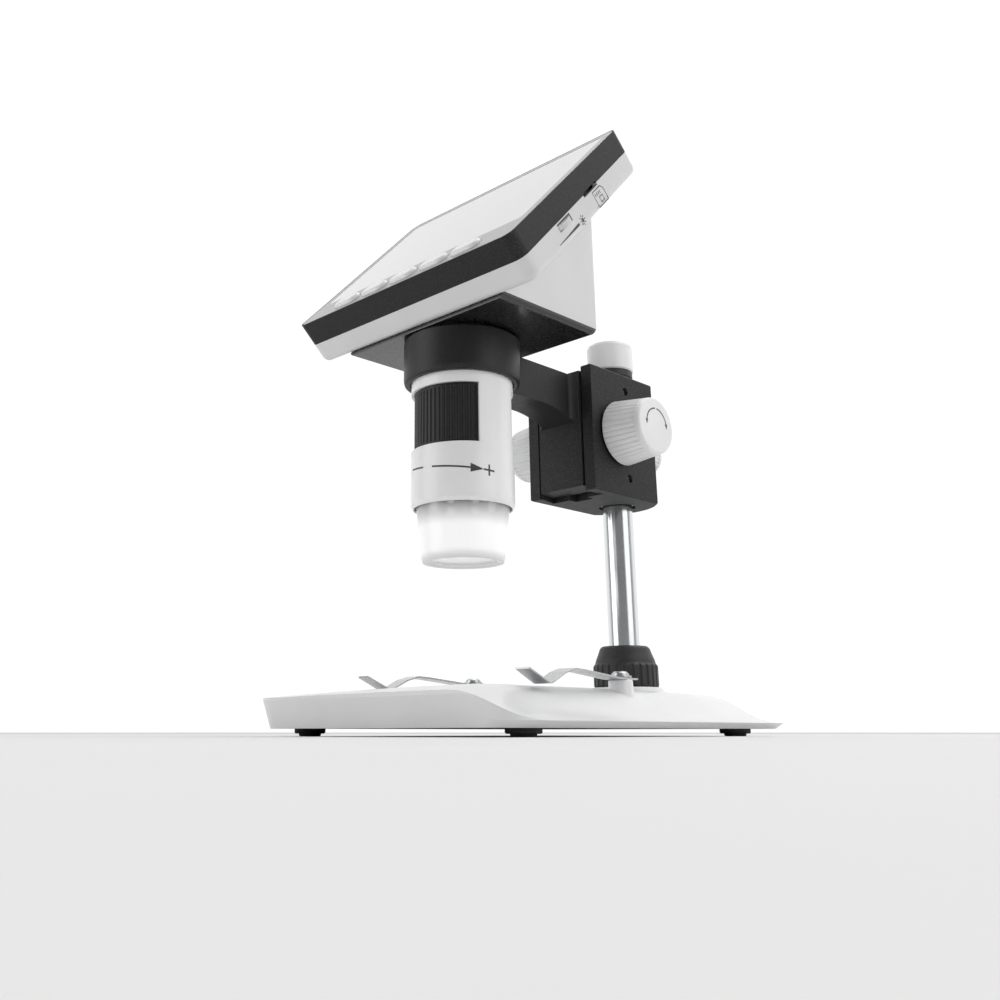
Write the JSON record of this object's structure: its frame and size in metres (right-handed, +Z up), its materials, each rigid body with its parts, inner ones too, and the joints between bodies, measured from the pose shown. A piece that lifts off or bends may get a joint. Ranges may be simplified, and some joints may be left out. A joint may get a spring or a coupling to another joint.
{
  "type": "lcd digital microscope",
  "caption": "Desktop digital microscope: tilted screen head on a barrel with ring light, held in a rack focus arm on a steel pole over a moulded stage base with spring clips.",
  "frame": {"origin": "on the table under the middle of the whole object's box", "axes": "+X to the user's right, +Y away from the user, +Z up"},
  "size_m": [0.134, 0.1792, 0.2432],
  "materials": {
    "white_plastic": "satin moulded ABS",
    "key_plastic": "smooth satin",
    "black_plastic": "fine moulded grain",
    "grey_plastic": "satin",
    "dark_rubber": "matt",
    "pole_steel": "brushed round",
    "bright_steel": "bright",
    "zinc_steel": "plain zinc",
    "brass": "machined",
    "bush_plastic": "plain",
    "display_glass": "polished",
    "clear_plastic": "clear moulded",
    "lens_glass": "coated",
    "display": "film",
    "circuit_board": "solder mask",
    "sensor_package": "plain",
    "battery_wrap": "foil",
    "socket_metal": "plated",
    "led": "clear dome"
  },
  "bodies": {
    "base": {"base_shell": "white_plastic", "base_bottom_plate": "grey_plastic", "base_weight": "zinc_steel", "base_screws": "zinc_steel", "feet": "dark_rubber", "foot_pads": "dark_rubber", "pole": "pole_steel", "pole_screw": "zinc_steel", "pole_cap": "white_plastic", "pole_cap_ring": "black_plastic", "clip_screws": "bright_steel"},
    "pole_nut": {"pole_nut": "black_plastic"},
    "clip_left": {"clip_left": "bright_steel"},
    "clip_right": {"clip_right": "bright_steel"},
    "clamp_bush": {"clamp_bush": "bush_plastic"},
    "bracket": {"bracket_housing": "black_plastic", "gib_screws": "zinc_steel"},
    "clamp_knob": {"clamp_knob": "white_plastic", "clamp_screw": "zinc_steel"},
    "focus_drive": {"focus_knob": "white_plastic", "pinion_shaft": "zinc_steel", "pinion": "brass"},
    "lock": {"lock_knob": "white_plastic", "lock_screw": "zinc_steel"},
    "arm": {"focus_slide": "black_plastic", "rack": "brass", "holder_arm": "black_plastic", "arm_screws": "zinc_steel"},
    "ring_liner": {"ring_liner": "dark_rubber"},
    "head": {"wedge_housing": "white_plastic", "head_bottom_plate": "black_plastic", "rear_case": "white_plastic", "screen_frame": "black_plastic", "screen_bezel": "grey_plastic", "screen_glass": "display_glass", "lcd_panel": "display", "button_board": "circuit_board", "main_board": "circuit_board", "battery": "battery_wrap", "sensor_board": "circuit_board", "image_sensor": "sensor_package", "sd_socket": "socket_metal", "usb_socket": "socket_metal", "barrel": "white_plastic", "led_board": "circuit_board", "leds": "led", "light_shroud": "clear_plastic", "head_screws": "zinc_steel"},
    "focus_ring": {"focus_ring": "black_plastic"},
    "lens_carrier": {"lens_carrier": "black_plastic", "objective_lens": "lens_glass"},
    "brightness_wheel": {"brightness_wheel": "grey_plastic"},
    "button_1": {"button_1": "key_plastic"},
    "button_2": {"button_2": "key_plastic"},
    "button_3": {"button_3": "key_plastic"},
    "button_4": {"button_4": "key_plastic"},
    "button_5": {"button_5": "key_plastic"}
  },
  "joints": [
    {"name": "pole_nut_turn", "type": "hinge", "parent": "base", "child": "pole_nut", "pos_m": [0, 0.0626, 0.03], "axis": [0, 0, 1], "range_deg": [0, 180]},
    {"name": "clip_left_swivel", "type": "hinge", "parent": "base", "child": "clip_left", "pos_m": [-0.039, 0.0055, 0.021], "axis": [0, 0, 1], "range_deg": [-90, 25]},
    {"name": "clip_right_swivel", "type": "hinge", "parent": "base", "child": "clip_right", "pos_m": [0.039, 0.0055, 0.021], "axis": [0, 0, 1], "range_deg": [-25, 90]},
    {"name": "height_slide", "type": "slide", "parent": "base", "child": "clamp_bush", "axis": [0, 0, 1], "range_m": [-0.03, 0.005]},
    {"name": "bracket_swivel", "type": "hinge", "parent": "clamp_bush", "child": "bracket", "pos_m": [0, 0.0626, 0.13], "axis": [0, 0, 1], "continuous": true},
    {"name": "clamp_knob_turn", "type": "hinge", "parent": "bracket", "child": "clamp_knob", "pos_m": [0, 0.08, 0.1292], "axis": [0, 1, 0], "range_deg": [0, 180]},
    {"name": "focus_travel", "type": "slide", "parent": "bracket", "child": "arm", "axis": [0, 0, 1], "range_m": [-0.01178, 0.01767]},
    {"name": "focus_knob_turn", "type": "hinge", "parent": "bracket", "child": "focus_drive", "pos_m": [-0.02, 0.0421, 0.1292], "axis": [1, 0, 0], "range_deg": [-203, 136]},
    {"name": "lock_knob_turn", "type": "hinge", "parent": "bracket", "child": "lock", "pos_m": [0.02, 0.0421, 0.1292], "axis": [1, 0, 0], "range_deg": [0, 180]},
    {"name": "ring_swivel", "type": "hinge", "parent": "arm", "child": "ring_liner", "pos_m": [0, -0.0395, 0.146], "axis": [0, 0, 1], "range_deg": [-90, 90]},
    {"name": "head_lift", "type": "slide", "parent": "ring_liner", "child": "head", "axis": [0, 0, 1], "range_m": [0, 0.095]},
    {"name": "focus_ring_turn", "type": "hinge", "parent": "head", "child": "focus_ring", "pos_m": [0, -0.0395, 0.12], "axis": [0, 0, 1], "range_deg": [-150, 150]},
    {"name": "lens_travel", "type": "slide", "parent": "head", "child": "lens_carrier", "axis": [0, 0, 1], "range_m": [-0.005, 0.005]},
    {"name": "button_1_press", "type": "slide", "parent": "head", "child": "button_1", "axis": [0, 0.7278, -0.6858], "range_m": [0, 0.0008], "stiffness_N_per_m": 400},
    {"name": "button_2_press", "type": "slide", "parent": "head", "child": "button_2", "axis": [0, 0.7278, -0.6858], "range_m": [0, 0.0008], "stiffness_N_per_m": 400},
    {"name": "button_3_press", "type": "slide", "parent": "head", "child": "button_3", "axis": [0, 0.7278, -0.6858], "range_m": [0, 0.0008], "stiffness_N_per_m": 400},
    {"name": "button_4_press", "type": "slide", "parent": "head", "child": "button_4", "axis": [0, 0.7278, -0.6858], "range_m": [0, 0.0008], "stiffness_N_per_m": 400},
    {"name": "button_5_press", "type": "slide", "parent": "head", "child": "button_5", "axis": [0, 0.7278, -0.6858], "range_m": [0, 0.0008], "stiffness_N_per_m": 400},
    {"name": "brightness_turn", "type": "hinge", "parent": "head", "child": "brightness_wheel", "pos_m": [0.0556, -0.04621, 0.18586], "axis": [0, -0.7278, 0.6858], "range_deg": [-130, 130]}
  ],
  "couplings": [
    {"joint": "focus_knob_turn", "follows": "focus_travel", "rad_per_m": -200},
    {"joint": "focus_ring_turn", "follows": "lens_travel", "rad_per_m": 520}
  ]
}
